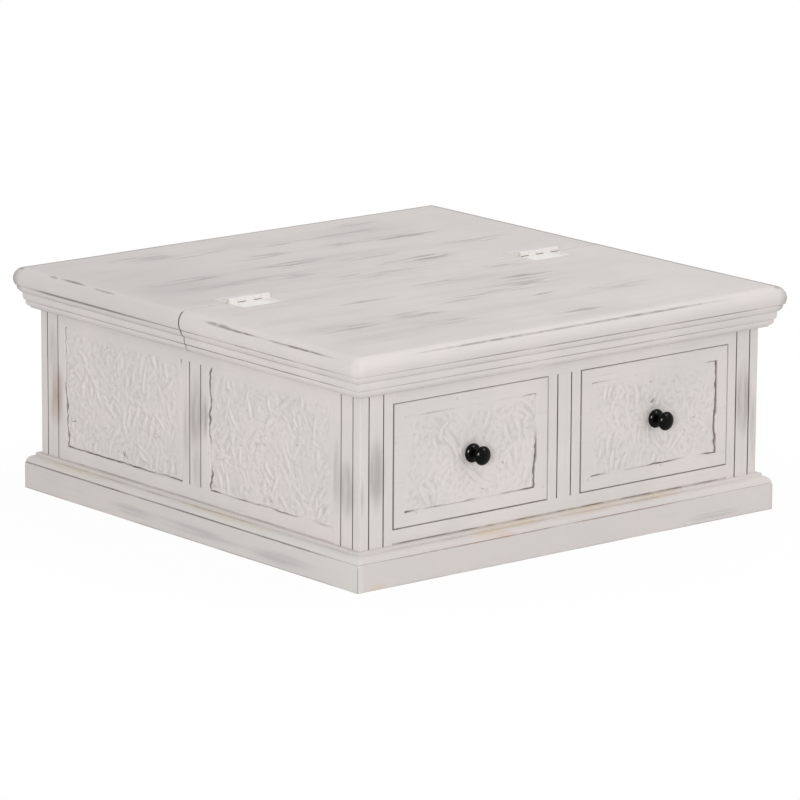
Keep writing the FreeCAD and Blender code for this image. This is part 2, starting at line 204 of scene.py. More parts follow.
def chalk_paint(name, grain, layers):
    """White chalk paint over wood whose grain runs along one axis, or along none where it is carved. layers
    gives masks and colours on top of it."""
    material, shader, point = new_finish(name)
    strokes = cloud(along_grain(point, grain, GRAIN_LENGTH, GRAIN_BREADTH), 1.0, 4.0)
    clouds = cloud(point, 11.0, 3.0)
    pores = cloud(point, 900.0, 2.0)
    colour = mixed(WHITE, COOL_WHITE, rise(clouds, 0.40, 0.62))
    colour = mixed(colour, WHITE_SHADE, 0.45 * rise(strokes, 0.54, 0.72))
    thin = 0.0
    for mask, paint in layers(point, strokes, clouds):
        colour = mixed(colour, paint, mask)
        thin = mask + thin
    height = 0.4 * strokes + 0.25 * pores + 0.35 * clouds - 0.6 * thin
    roughness = 0.56 + 0.12 * pores + 0.08 * strokes
    lay_on(shader, colour, roughness, height, 0.25, 0.0006)
    shader.inputs["Specular IOR Level"].default_value = WOOD_SHEEN
    return material


WELD = 1e-5
FLAT_TURN = math.radians(0.4)
EASED_TURN = math.radians(50)
CRISP_TURN = math.radians(35)
SLICE = 0.014
WAVES = ((8.0, 0.00028), (37.0, 0.00009))
WAVER_SEED = 7
noise.seed_set(WAVER_SEED)


def unevenness(place, shift):
    """How far a point of a hand-planed piece lies from true."""
    moved = Vector((0, 0, 0))
    for waves, reach in WAVES:
        moved += noise.noise_vector(place * waves + shift) * reach
    return moved


def painted(node, axes, material, eased=None, arris=0.0, shift=Vector((0, 0, 0))):
    """A wooden piece as it leaves the bench: welded from its CAD node, with some edges eased by an arris,
    and with faces that aren't quite true along its axes. eased tells from an edge's two ends whether it is
    eased. shift gives the piece a waver of its own. It stands for the node."""
    form = bmesh.new()
    form.from_mesh(nodes[node].data)
    bmesh.ops.remove_doubles(form, verts=form.verts, dist=WELD)
    bmesh.ops.dissolve_limit(form, angle_limit=FLAT_TURN, verts=form.verts, edges=form.edges)
    if eased:
        sharp = [e for e in form.edges if e.is_manifold and e.calc_face_angle_signed() > EASED_TURN]
        sharp = [e for e in sharp if eased(e.verts[0].co, e.verts[1].co)]
        rounding = {"segments": 2, "profile": 0.5, "affect": "EDGES", "clamp_overlap": True}
        bmesh.ops.bevel(form, geom=sharp, offset=arris, **rounding)
    low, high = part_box(node)
    for axis in axes:
        steps = round((high[axis] - low[axis]) / SLICE)
        for step in range(1, steps):
            cut = Vector((0, 0, 0))
            cut[axis] = low[axis] + (high[axis] - low[axis]) * step / steps
            across = Vector((0, 0, 0))
            across[axis] = 1.0
            whole = form.verts[:] + form.edges[:] + form.faces[:]
            bmesh.ops.bisect_plane(form, geom=whole, dist=WELD, plane_co=cut, plane_no=across)
    for vertex in form.verts:
        vertex.co += unevenness(vertex.co, shift)
        vertex.co.z = max(vertex.co.z, 0.0)
    mesh = bpy.data.meshes.new("painted_" + node)
    form.to_mesh(mesh)
    form.free()
    return finished("painted_" + node, mesh, material, node, CRISP_TURN)


def crisp_edges(mesh, crisp):
    """Shades a mesh smooth, apart from the edges that turn by more than crisp."""
    mesh.shade_smooth()
    form = bmesh.new()
    form.from_mesh(mesh)
    for edge in form.edges:
        edge.smooth = edge.calc_face_angle(0) < crisp
    form.to_mesh(mesh)
    form.free()


def finished(name, mesh, material, node, crisp):
    """Puts a mesh in the place of a CAD node, on its body. Edges that turn by more than crisp stay crisp."""
    mesh.materials.clear()
    mesh.materials.append(material)
    crisp_edges(mesh, crisp)
    piece = bpy.data.objects.new(name, mesh)
    bpy.context.scene.collection.objects.link(piece)
    weighted = piece.modifiers.new("flat faces", "WEIGHTED_NORMAL")
    weighted.keep_sharp = True
    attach(piece, body_of(nodes[node])[0])
    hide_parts(node)
    return piece


post_low, post_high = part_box("corner_post_front_left")
frame_face = -post_low.x
post_middle = -(post_low.x + post_high.x) / 2
opening_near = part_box("mid_stile_left")[1].y
opening_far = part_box("corner_post_rear_left")[0].y
GROOVE_DEPTH = 0.0018
HEAD_CLEAR = 0.0004
WALL_CLEAR = (0.0003, 0.0008)
ARRIS = 0.0003
# The middle of each rubbed place, its reach along the axes and the colour that shows there.
RUBBED_PLACES = (
    ((-frame_face, -post_middle, 0.120), (0.02, 0.024, 0.044), BARE_GREY_AND_SHADE),
    ((-frame_face, -0.280, 0.132), (0.02, 0.011, 0.060), THIN_WHITE_AND_SHADE),
    ((-post_middle, -frame_face, 0.138), (0.018, 0.02, 0.058), BARE_GREY_AND_SHADE),
    ((-0.321, -frame_face, 0.112), (0.004, 0.02, 0.030), THIN_WHITE_AND_SHADE),
    ((-frame_face, 0.290, 0.140), (0.02, 0.017, 0.042), BARE_BROWN),
    ((-frame_face, 0.292, 0.114), (0.02, 0.017, 0.036), BARE_BROWN),
    ((-frame_face, 0.297, 0.185), (0.02, 0.014, 0.050), THIN_WHITE_AND_SHADE),
    ((-frame_face, -0.002, 0.158), (0.02, 0.020, 0.060), BARE_GREY_AND_SHADE),
    ((-frame_face, 0.017, 0.139), (0.02, 0.010, 0.062), THIN_WHITE_AND_SHADE),
    ((-frame_face, -0.021, 0.157), (0.02, 0.008, 0.034), BARE_GREY_AND_SHADE),
    ((-frame_face, -0.004, 0.088), (0.02, 0.012, 0.034), THIN_WHITE_AND_SHADE),
    ((0.301, -frame_face, 0.145), (0.018, 0.02, 0.062), BARE_GREY_AND_SHADE),
    ((0.319, -frame_face, 0.110), (0.008, 0.02, 0.060), THIN_WHITE_AND_SHADE),
    ((frame_face, -0.296, 0.130), (0.02, 0.018, 0.056), BARE_GREY_AND_SHADE),
    ((frame_face, 0.004, 0.120), (0.02, 0.020, 0.060), BARE_BROWN),
    ((frame_face, 0.300, 0.140), (0.02, 0.018, 0.050), BARE_GREY_AND_SHADE),
    ((0.298, frame_face, 0.120), (0.018, 0.02, 0.050), BARE_GREY_AND_SHADE),
    ((-0.003, frame_face, 0.140), (0.020, 0.02, 0.060), BARE_BROWN),
    ((-0.301, frame_face, 0.110), (0.018, 0.02, 0.054), BARE_GREY_AND_SHADE),
)


def stile_layers(point, strokes, clouds):
    x, y, z = places(point)
    depth = frame_face - (abs(x) | abs(y))
    sunk = rise(depth, 0.1 * GROOVE_DEPTH, 0.55 * GROOVE_DEPTH)
    sunk = sunk * rise(depth, 2.0 * GROOVE_DEPTH, 1.3 * GROOVE_DEPTH)
    sunk = sunk * rise(z, post_high.z - HEAD_CLEAR, post_high.z - 2.5 * HEAD_CLEAR)
    for place in (abs(x), abs(y)):
        for wall in (opening_near, opening_far):
            sunk = sunk * rise(abs(place - wall), *WALL_CLEAR)
    dry = 0.45 + 0.55 * rise(cloud(stretched(point, (110, 110, 14)), 1.0, 3.0), 0.34, 0.60)
    layers = [(0.72 * dry * spot(point, middle, reach), paint) for middle, reach, paint in RUBBED_PLACES]
    layers.append((sunk, UNDERCOAT_AND_GAP_SHADE))
    return layers


def upright(start, end):
    return abs((end - start).normalized().z) > 0.999


stile_paint = chalk_paint("stile paint", 2, stile_layers)
for node in sorted(nodes):
    if node.startswith(("corner_post", "mid_stile")):
        painted(node, (2,), stile_paint, upright, ARRIS)

# Rails
# Level boards between the posts, above and below the openings, tenoned into the posts and painted with them.
# Along the joint over the plinth, which paint has all but filled, the dark line is brown undercoat and
# painted shadow.
rail_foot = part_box("bottom_rail_front")[0].z
JOINT_FILL = 0.0010
JOINT_LINE = 0.0008
FACE_BAND = 0.005


def rail_layers(point, strokes, clouds):
    x, y, z = places(point)
    broken = 0.4 + 0.6 * rise(cloud(point, 24.0, 3.0), 0.36, 0.58)
    front = rise(y, 2 * FACE_BAND - frame_face, FACE_BAND - frame_face)
    # Painted shadow line with brown undercoat along the filled joint over the plinth, bolder on the front.
    line = broken * rise(z - JOINT_LINE * front, rail_foot + JOINT_LINE, rail_foot - 0.5 * JOINT_LINE)
    return [((0.6 + 0.25 * front) * line, BARE_UMBER_AND_SHADE)]


def both_ways(name, layers):
    """A paint for boards that run to the right, and one for boards that run to the rear."""
    return [chalk_paint(name + " along " + "xy"[axis], axis, layers) for axis in (0, 1)]


def way_of(node):
    """The axis that a board runs along: 0 at the front and the rear, and 1 at the left and the right."""
    return 0 if node.endswith(("front", "rear")) else 1


rail_paints = both_ways("rail paint", rail_layers)
for node in sorted(nodes):
    if node.startswith(("top_rail", "bottom_rail")):
        axis = way_of(node)
        rail = painted(node, (axis,), rail_paints[axis])
        if node.startswith("bottom_rail"):
            for vertex in rail.data.vertices:
                if vertex.co.z < rail_foot + JOINT_FILL:
                    vertex.co.z -= JOINT_FILL

# Carved panels
# Solid boards carved by hand all over with tufts of leaves, and set in grooves in the frame before it is
# glued. The paint lies thick over the relief and fills the joint, but has cracked along two or three edges.
# Painted shade darkens the hollows of the relief.
CARVING_STEP = 0.0009
RELIEF = 0.0044
GROUND_SINK = 0.0021
EDGE_SINK = 0.0002
PANEL_LAP = 0.0004
CRACK_BREADTH = {"left": 0.0018, "right": 0.0022, "bottom": 0.0010, "top": 0.0007}
CRACK_DEPTH = 0.0020
CRACK_WAVER = {"left": 0.0016, "right": 0.0012, "bottom": 0.0004, "top": 0.0003}
LEAF_LENGTH = 0.031
LEAF_BREADTH = 0.0036
TUFT_WIDTH = 0.036
TUFT_HEIGHT = 0.034
LEAF_SPACING = 0.0080
FILLING_AREA = 0.00016
LEAF_STAGGER = 0.012
ROOT_REACH = 0.01
MARGIN_WAVER = 0.0015
CRISP_CARVING = math.radians(70)


def soft_field(values, spread):
    """The values of a grid, blurred over a spread counted in steps of the grid."""
    rows = np.fft.fftfreq(values.shape[0])[:, None]
    columns = np.fft.rfftfreq(values.shape[1])[None, :]
    filter_shape = np.exp(-2 * (math.pi * spread) ** 2 * (rows ** 2 + columns ** 2))
    return np.fft.irfft2(np.fft.rfft2(values) * filter_shape, values.shape)


def rough_field(draw, shape, spread):
    field = soft_field(draw.standard_normal(shape), spread)
    return field / field.std()


def carve_leaf(field, grid, root, angle, length, breadth, bend, lift):
    """Lays one leaf over the carving: a rounded blade, pointed at both ends, with a sunk line round it."""
    east, north = grid[0] - root[0], grid[1] - root[1]
    along = (east * math.cos(angle) + north * math.sin(angle)) / length
    aside = (north * math.cos(angle) - east * math.sin(angle)) / breadth
    swell = np.clip(4 * along * (1 - along), 0, 1)
    share = np.abs(aside - bend * swell) / np.maximum(swell ** 0.65, 1e-4)
    blade = lift * (0.45 + 0.55 * np.sqrt(np.clip(1 - share ** 2, 0, 1))) * (0.6 + 0.4 * swell)
    rim = np.clip(1.6 - share, 0, 0.6) / 0.6
    return np.where(share < 1, np.maximum(blade, 0.6 * field), field * (1 - 0.5 * rim * lift))


def carve_tuft(field, grid, draw, root, heading):
    """A few leaves side by side, each with its own lean, length and height."""
    for number in range(draw.integers(2, 5)):
        lean = heading + draw.uniform(-0.45, 0.45)
        aside = LEAF_SPACING * (number + draw.uniform(-0.4, 0.4))
        ahead = draw.uniform(-LEAF_STAGGER, LEAF_STAGGER)
        east = root[0] + aside * math.sin(heading) + ahead * math.cos(heading)
        north = root[1] - aside * math.cos(heading) + ahead * math.sin(heading)
        length = LEAF_LENGTH * draw.uniform(0.55, 1.35)
        breadth = LEAF_BREADTH * draw.uniform(0.6, 1.3)
        bend = draw.uniform(-1.2, 1.2)
        lift = draw.uniform(0.45, 1.0)
        field = carve_leaf(field, grid, (east, north), lean, length, breadth, bend, lift)
    return field


def carving(width, height, seed, margins, cracked, depth, seat):
    """The relief of one panel in metres on a grid from its lower left corner, measured from the face of the
    frame, where painted shade darkens its hollows and where its paint is cracked. margins are the plain
    borders. cracked tells along which edges the paint has opened: how far at the start and end of the edge,
    and how far in from it. A crack ends at those before it. depth is the share of the full relief. seat is
    the flat left for a knob, as its middle, its radius and its level."""
    draw = np.random.default_rng(seed)
    columns = round(width / CARVING_STEP) + 1
    rows = round(height / CARVING_STEP) + 1
    grid = np.meshgrid(np.linspace(0, width, columns), np.linspace(0, height, rows))
    shape = grid[0].shape
    ground = 0.36 + 0.06 * rough_field(draw, shape, 8)
    field = ground
    for _ in range(round(width * height / FILLING_AREA)):
        root = (draw.uniform(-ROOT_REACH, width), draw.uniform(-ROOT_REACH, height))
        length = LEAF_LENGTH * draw.uniform(0.3, 0.9)
        breadth = LEAF_BREADTH * draw.uniform(0.5, 1.5)
        lift = draw.uniform(0.35, 0.7)
        angle = draw.uniform(0, math.pi)
        bend = draw.uniform(-1, 1)
        field = carve_leaf(field, grid, root, angle, length, breadth, bend, lift)
    across_count = round(width / TUFT_WIDTH)
    up_count = round(height / TUFT_HEIGHT)
    for number in range(across_count * up_count):
        east = (number % across_count + draw.uniform(-0.2, 0.8)) / across_count
        north = (number // across_count + draw.uniform(-0.3, 0.6)) / up_count
        heading = math.pi / 2 + draw.choice((-1, 1)) * draw.uniform(0.05, 1.0)
        field = carve_tuft(field, grid, draw, (width * east, height * north), heading)
    busy = np.clip(0.85 + 0.25 * rough_field(draw, shape, 14), 0.35, 1)
    field = ground + (field - ground) * busy
    field = soft_field(field, 1.0) + 0.042 * rough_field(draw, shape, 2.2)
    # Painted shade: darker where the relief lies below its surroundings.
    crevice = soft_field(field, 4.0) - field
    crease_shade = np.clip(crevice / 0.13, 0, 1)
    hair = np.clip(1 - np.abs(rough_field(draw, shape, 5)) / 0.16, 0, 1)
    crack = hair * np.clip(2.5 * rough_field(draw, shape, 4) - 3.7, 0, 1)
    relief = depth * RELIEF * field - depth * GROUND_SINK
    away = {"left": grid[0], "right": width - grid[0], "bottom": grid[1], "top": height - grid[1]}
    for side, margin in margins.items():
        plain = np.clip(1.7 - (away[side] + MARGIN_WAVER * rough_field(draw, shape, 6)) / margin, 0, 1)
        relief = relief + (-EDGE_SINK - relief) * plain
        crease_shade = crease_shade * (1 - plain)
        crack = crack * (1 - plain)
    across, upward = grid[0] / width, grid[1] / height
    run = {"left": upward, "right": upward, "bottom": across, "top": across}
    within = np.ones(shape)
    for side, (first_share, last_share, first_inset, last_inset) in cracked.items():
        share = first_share + (last_share - first_share) * run[side] + 0.4 * np.abs(2 * run[side] - 1) ** 9
        opened = np.clip(share + 0.22 * rough_field(draw, shape, 9), 0, 1)
        waver = CRACK_WAVER[side] * (rough_field(draw, shape, 12) + 0.6 * rough_field(draw, shape, 3))
        inset = first_inset + (last_inset - first_inset) * run[side] + waver
        line = within * opened * np.clip(1.4 - np.abs(away[side] - inset) / CRACK_BREADTH[side], 0, 1)
        within = within * (away[side] > inset)
        relief = relief - CRACK_DEPTH * line
        crack = np.maximum(crack, line)
    if seat:
        middle, radius, flat_level = seat
        reach = np.hypot(grid[0] - middle[0], grid[1] - middle[1]) / radius
        near = np.clip((1.4 - reach) / 0.4, 0, 1)
        relief = relief + (flat_level - relief) * near
    return grid, relief, crease_shade, crack


def carved(node, start, size, ways, seed, margins, cracked, depth=1.0, seat=None):
    """A carved board in the place of its CAD node. start is its lower left corner at the back, seen from
    outside. size holds its width, its height and how far the face of the frame lies in front of its back.
    ways are the directions to the right and outward."""
    width, height, deep = size
    along, outward = ways
    grid, relief, crease_shade, crack = carving(width, height, seed, margins, cracked, depth, seat)
    rows, columns = relief.shape
    backs = np.array(start) + grid[0].reshape(-1, 1) * np.array(along)
    backs = backs + grid[1].reshape(-1, 1) * np.array((0, 0, 1))
    fronts = backs + (deep + relief.reshape(-1, 1)) * np.array(outward)
    index = np.arange(rows * columns).reshape(rows, columns)
    quads = np.stack([index[:-1, :-1], index[:-1, 1:], index[1:, 1:], index[1:, :-1]], -1).reshape(-1, 4)
    rim = np.concatenate([index[0, :-1], index[:-1, -1], index[-1, :0:-1], index[:0:-1, 0]])
    behind = len(fronts) + np.arange(len(rim))
    walls = np.stack([np.roll(rim, -1), rim, behind, np.roll(behind, -1)], -1)
    mesh = bpy.data.meshes.new("carving_" + node)
    faces = quads.tolist() + walls.tolist() + [behind[::-1].tolist()]
    mesh.from_pydata(np.concatenate([fronts, backs[rim]]).tolist(), [], faces)
    for name, values in (("crease_shade", crease_shade), ("crack", crack)):
        held = mesh.attributes.new(name, "FLOAT", "POINT")
        held.data.foreach_set("value", np.concatenate([values.reshape(-1), np.zeros(len(rim))]))
    return finished("carving_" + node, mesh, carved_paint, node, CRISP_CARVING)


def carved_layers(point, strokes, clouds):
    crease_shade = point.node("Attribute", {"attribute_name": "crease_shade"}, {}, 2)
    crack = point.node("Attribute", {"attribute_name": "crack"}, {}, 2)
    # Painted shade in the hollows of the relief, and undercoat in the cracks.
    return [(0.45 * crease_shade, THIN_WHITE_AND_SHADE), (0.8 * rise(crack, 0.2, 0.95), UNDERCOAT_AND_GAP_SHADE)]


carved_paint = chalk_paint("carved paint", None, carved_layers)
SIDE_WAYS = {
    "left": (Vector((0, -1, 0)), Vector((-1, 0, 0))),
    "right": (Vector((0, 1, 0)), Vector((1, 0, 0))),
    "rear": (Vector((-1, 0, 0)), Vector((0, 1, 0))),
    "front": (Vector((1, 0, 0)), Vector((0, -1, 0))),
}
PANEL_MARGINS = {"left": 0.005, "right": 0.009, "bottom": 0.003, "top": 0.008}
PANEL_CRACKS = {
    "carved_panel_left_front": {"left": (0.95, 0.85, 0.0055, 0.0045), "bottom": (0.9, 0.45, 0.0011, 0.0013)},
    "carved_panel_left_rear": {
        "left": (0.95, 0.6, 0.0062, 0.0018),
        "right": (0.1, 0.0, 0.0014, 0.0014),
        "bottom": (0.7, 0.7, 0.0012, 0.0016),
    },
    "carved_panel_rear_left": {"left": (0.6, 0.8, 0.0030, 0.0040), "bottom": (0.6, 0.8, 0.0012, 0.0012)},
    "carved_panel_rear_right": {"left": (0.7, 0.4, 0.0050, 0.0020), "bottom": (0.8, 0.5, 0.0012, 0.0012)},
    "carved_panel_right_front": {"left": (0.9, 0.6, 0.0045, 0.0030), "bottom": (0.5, 0.7, 0.0012, 0.0012)},
    "carved_panel_right_rear": {"left": (0.5, 0.8, 0.0020, 0.0045), "bottom": (0.8, 0.6, 0.0012, 0.0012)},
}
opening_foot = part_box("bottom_rail_left")[1].z
opening_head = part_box("top_rail_left")[0].z
for seed, node in enumerate(sorted(PANEL_CRACKS)):
    along, outward = SIDE_WAYS[node.split("_")[2]]
    low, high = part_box(node)
    begin = opening_near if (low + high).dot(along) > 0 else -opening_far
    back = min(low.dot(outward), high.dot(outward))
    start = along * (begin - PANEL_LAP) + outward * back + Vector((0, 0, opening_foot - PANEL_LAP))
    width = opening_far - opening_near + 2 * PANEL_LAP
    height = opening_head - opening_foot + 2 * PANEL_LAP
    size = (width, height, frame_face - back)
    carved(node, start, size, (along, outward), seed, PANEL_MARGINS, PANEL_CRACKS[node])

# Plinth
# A skirt of four boards with a rounded cap moulding on top, mitred at the corners and nailed round the
# carcass. The undercoat shows along the joints. Kicks and mops have worn the cap to cream and the boards to
# grey.
plinth_face = -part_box("plinth_board_front")[0].y
cap_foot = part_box("plinth_cap_front")[0].z
CREAM = tone(207, 194, 176)
PALE_CREAM = tone(208, 201, 188)
RUST_BROWN = tone(168, 146, 132)
WORN_GREY = tone(182, 181, 181)
PALE_GREY = tone(212, 211, 207)
PINK_WEAR = tone(205, 185, 175)
OVOLO_HEIGHT = 0.009
PLINTH_LINE = 0.0004
# The middle of each worn place, its reach along the axes and, on the cap, the colour that shows there.
CAP_WEAR = (
    ((-0.128, -plinth_face, cap_foot + 0.009), (0.044, 0.04, 0.008), CREAM),
    ((-0.070, -plinth_face, cap_foot + 0.011), (0.060, 0.04, 0.007), CREAM),
    ((0.040, -plinth_face, cap_foot + 0.011), (0.080, 0.04, 0.007), CREAM),
    ((0.150, -plinth_face, cap_foot + 0.011), (0.060, 0.04, 0.005), CREAM),
    ((-0.107, -plinth_face, cap_foot + 0.003), (0.022, 0.02, 0.005), PINK_WEAR),
    ((-plinth_face, -0.080, cap_foot + 0.009), (0.02, 0.160, 0.006), PALE_CREAM),
    ((-plinth_face, 0.240, cap_foot + 0.008), (0.02, 0.110, 0.006), PALE_CREAM),
    ((-0.310, -plinth_face, 0.002), (0.020, 0.02, 0.007), CREAM),
    ((0.120, plinth_face, cap_foot + 0.008), (0.100, 0.02, 0.006), CREAM),
    ((plinth_face, -0.150, cap_foot + 0.008), (0.02, 0.120, 0.006), CREAM),
)
FOOT_WEAR = (
    ((-plinth_face, -0.190, 0.013), (0.02, 0.085, 0.011)),
    ((-plinth_face, -0.030, 0.014), (0.02, 0.120, 0.009)),
    ((-plinth_face, 0.110, 0.014), (0.02, 0.060, 0.009)),
    ((0.240, -plinth_face, 0.008), (0.060, 0.02, 0.006)),
    ((plinth_face, 0.060, 0.012), (0.02, 0.110, 0.010)),
    ((-0.140, plinth_face, 0.012), (0.090, 0.02, 0.010)),
)


def plinth_layers(point, strokes, clouds):
    x, y, z = places(point)
    broken = rise(cloud(point, 17.0, 3.0), 0.40, 0.58)
    on_left = rise(x, -frame_face - FACE_BAND, -frame_face - 2 * FACE_BAND)
    joint = rise(abs(z - cap_foot), 3 * PLINTH_LINE, PLINTH_LINE)
    upper = rise(abs(z - cap_foot - OVOLO_HEIGHT), 1.25 * PLINTH_LINE, 0.5 * PLINTH_LINE)
    mitre = rise(abs(abs(x) - abs(y)), 3.5 * PLINTH_LINE, PLINTH_LINE)
    mitre = mitre * rise(z, cap_foot, cap_foot - 10 * PLINTH_LINE)
    # Dirt and painted shadow along the foot of the boards, where they meet the floor, stronger on the left.
    foot_dirt_and_shadow = rise(z, 5.5 * PLINTH_LINE, 0.0) * rise(clouds, 0.34, 0.56)
    # Painted shade: the boards are darkened, most on the front, less on the left and towards the right end.
    # A paler grey lightens the left board towards the near corner.
    layers = [(0.75 - 0.40 * on_left - 0.30 * rise(x, 0.0, 0.3), WHITE_SHADE)]
    layers.append((0.6 * on_left * rise(y, 0.1, -0.15), PALE_GREY))
    for middle, reach, paint in CAP_WEAR:
        layers.append((0.8 * rise(strokes, 0.25, 0.5) * spot(point, middle, reach), paint))
    for middle, reach in FOOT_WEAR:
        layers.append((0.7 * rise(strokes, 0.25, 0.6) * spot(point, middle, reach), WORN_GREY))
    layers.append(((0.55 + 0.40 * on_left) * foot_dirt_and_shadow, BARE_GREY_AND_SHADE))
    clear = rise(abs(x) & abs(y), plinth_face - 0.02, plinth_face - 0.11)
    layers.append((0.6 * broken * joint * clear, RUST_BROWN))
    layers.append((0.45 * rise(clouds, 0.36, 0.52) * joint * on_left, UNDERCOAT_AND_GAP_SHADE))
    layers.append(((0.35 + 0.4 * on_left) * broken * upper * clear, BARE_BROWN))
    layers.append((0.5 * mitre, BARE_UMBER_AND_SHADE))
    return layers


plinth_paints = both_ways("plinth paint", plinth_layers)
for node in sorted(nodes):
    if node.startswith("plinth"):
        axis = way_of(node)
        painted(node, (axis,), plinth_paints[axis])

# Boards inside the carcass
# Bottom board, divider, partition and the strips that the drawers run on. They are sawn from plain wood and
# only limed, so that the grain stays open. They are seen when the lid or a drawer is open.
LIMED = tone(203, 184, 160)
LIMED_DARK = tone(168, 143, 117)


def limed_wood(name, grain):
    material, shader, point = new_finish(name)
    wander = cloud(along_grain(point, grain, 2.0, 14.0), 1.0, 2.0)
    rings = cloud(along_grain(point, grain, 3.0, 90.0), 1.0, 3.0)
    fibre = cloud(along_grain(point, grain, 22.0, 900.0), 1.0, 3.0)
    dark = rise(0.6 * rings + 0.4 * wander, 0.42, 0.62)
    colour = mixed(LIMED, LIMED_DARK, 0.7 * dark)
    colour = mixed(colour, LIMED_DARK, 0.5 * rise(fibre, 0.52, 0.7))
    lay_on(shader, colour, 0.6 + 0.2 * fibre, fibre - 0.3 * dark, 0.3, 0.0004)
    shader.inputs["Specular IOR Level"].default_value = WOOD_SHEEN
    return material


def coat(node, material):
    """Gives its finish to a CAD node that is shown as it is."""
    nodes[node].data.materials.clear()
    nodes[node].data.materials.append(material)


limed_woods = [limed_wood("limed wood along " + "xyz"[axis], axis) for axis in range(3)]
INNER_GRAIN = {
    "bottom_board": 0, "well_divider": 0, "drawer_partition": 1,
    "drawer_runners": 1, "drawer_guides": 1, "drawer_kickers": 1,
}
for node, axis in INNER_GRAIN.items():
    coat(node, limed_woods[axis])

# Top
# Two glued-up boards with a rounded nose and a bead run round three sides, over a built-up moulding. The
# front half is screwed to the carcass and the rear half lifts. Dry brushing along the grain lets the wood
# show in streaks.
top_edge = -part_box("front_top_board")[0].x
top_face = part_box("front_top_board")[1].z
board_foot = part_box("front_top_board")[0].z
seam_face = -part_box("front_top_board")[1].y
moulding_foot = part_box("front_top_moulding_front")[0].z
BEAD_HEIGHT = 0.0087
BAND_HEIGHT = 0.0103
LINE_REACH = 0.0010
SEAM_EASE = 0.0011
CORNER_REACH = 0.002
NOSE_REACH = 0.010
STREAK_WAVER = (0.10, 0.034, 0.0)
VIOLET_GREY = tone(183, 176, 176)
LINE_GREY = tone(150, 144, 140)
# The middle of each streak to the right and to the rear, its length and its breadth.
PALE_STREAKS = (
    (-0.190, 0.292, 0.045, 0.010), (-0.141, 0.272, 0.060, 0.010), (0.000, 0.258, 0.045, 0.009),
    (0.091, 0.201, 0.060, 0.011), (0.174, 0.199, 0.060, 0.011), (-0.062, 0.143, 0.060, 0.011),
    (-0.231, 0.139, 0.065, 0.012), (0.095, 0.069, 0.055, 0.010), (-0.200, 0.097, 0.070, 0.013),
    (-0.092, 0.081, 0.050, 0.011), (0.240, 0.120, 0.050, 0.010), (0.040, 0.120, 0.045, 0.010),
    (0.130, 0.255, 0.060, 0.012), (-0.020, 0.030, 0.055, 0.010), (-0.137, -0.096, 0.045, 0.009),
    (0.147, -0.028, 0.050, 0.009), (0.121, -0.099, 0.065, 0.011), (0.086, -0.137, 0.085, 0.016),
    (0.063, -0.301, 0.055, 0.010), (-0.240, -0.205, 0.050, 0.010), (-0.128, -0.246, 0.055, 0.010),
    (0.030, -0.060, 0.050, 0.010), (-0.136, -0.191, 0.055, 0.011), (0.180, 0.300, 0.045, 0.010),
    (-0.020, -0.160, 0.050, 0.012), (0.180, -0.210, 0.050, 0.011), (-0.060, 0.205, 0.050, 0.010),
)
DARK_STREAKS = (
    (0.000, 0.258, 0.020, 0.006), (0.091, 0.201, 0.032, 0.007), (0.174, 0.199, 0.034, 0.007),
    (-0.062, 0.143, 0.032, 0.007), (-0.231, 0.139, 0.036, 0.006), (0.095, 0.069, 0.030, 0.006),
    (-0.141, 0.272, 0.040, 0.006), (-0.137, -0.096, 0.026, 0.006), (0.147, -0.028, 0.030, 0.006),
    (0.121, -0.099, 0.042, 0.007), (0.088, -0.198, 0.024, 0.008), (0.063, -0.301, 0.034, 0.006),
    (-0.136, -0.191, 0.036, 0.006), (-0.236, -0.206, 0.030, 0.006), (0.086, -0.140, 0.030, 0.006),
)
# The middle of each break in the paint along the nose, its reach along the axes and the colour that shows.
NOSE_BREAKS = (
    ((-0.347, -0.076, 0.2860), (0.02, 0.036, 0.0026), LINE_GREY),
    ((-0.347, -0.118, 0.2847), (0.02, 0.056, 0.0016), BARE_UMBER_AND_SHADE),
    ((-0.348, -0.235, 0.2843), (0.02, 0.090, 0.0016), BARE_UMBER_AND_SHADE),
    ((-0.344, 0.269, 0.2890), (0.02, 0.012, 0.0015), BARE_GREY_AND_SHADE),
    ((-0.344, 0.227, 0.2893), (0.02, 0.034, 0.0014), BARE_UMBER_AND_SHADE),
    ((-0.345, 0.160, 0.2885), (0.02, 0.028, 0.0014), BARE_UMBER_AND_SHADE),
    ((-0.110, -0.347, 0.2855), (0.190, 0.02, 0.0018), LINE_GREY),
    ((0.110, -0.347, 0.2858), (0.170, 0.02, 0.0018), LINE_GREY),
    ((0.060, 0.347, 0.2850), (0.140, 0.02, 0.0020), BARE_GREY_AND_SHADE),
    ((0.347, 0.120, 0.2850), (0.02, 0.090, 0.0020), BARE_GREY_AND_SHADE),
    ((0.347, -0.200, 0.2850), (0.02, 0.060, 0.0025), BARE_GREY_AND_SHADE),
)


def dark_side(x, y):
    """1 on the left face of the top, where the brown shows most in the sunk lines, and 0 elsewhere."""
    face = rise(x, NOSE_REACH - top_edge, 0.5 * NOSE_REACH - top_edge)
    return face * rise(abs(y), top_edge, top_edge - 3 * NOSE_REACH)


def clear_of_corners(x, y):
    """1 along the sides of the top, and 0 near its corners, where the paint has filled the sunk lines."""
    return rise(abs(x) & abs(y), top_edge - 1.5 * NOSE_REACH, top_edge - 10 * NOSE_REACH)


def sides_of(x, y):
    """1 on the left side of the top, and 1 on its front side. Each is 0 elsewhere."""
    left = rise(-1.0 * x - abs(y), 0.0, 0.4 * NOSE_REACH)
    front = rise(-1.0 * y - abs(x), 0.0, 0.4 * NOSE_REACH)
    return left, front


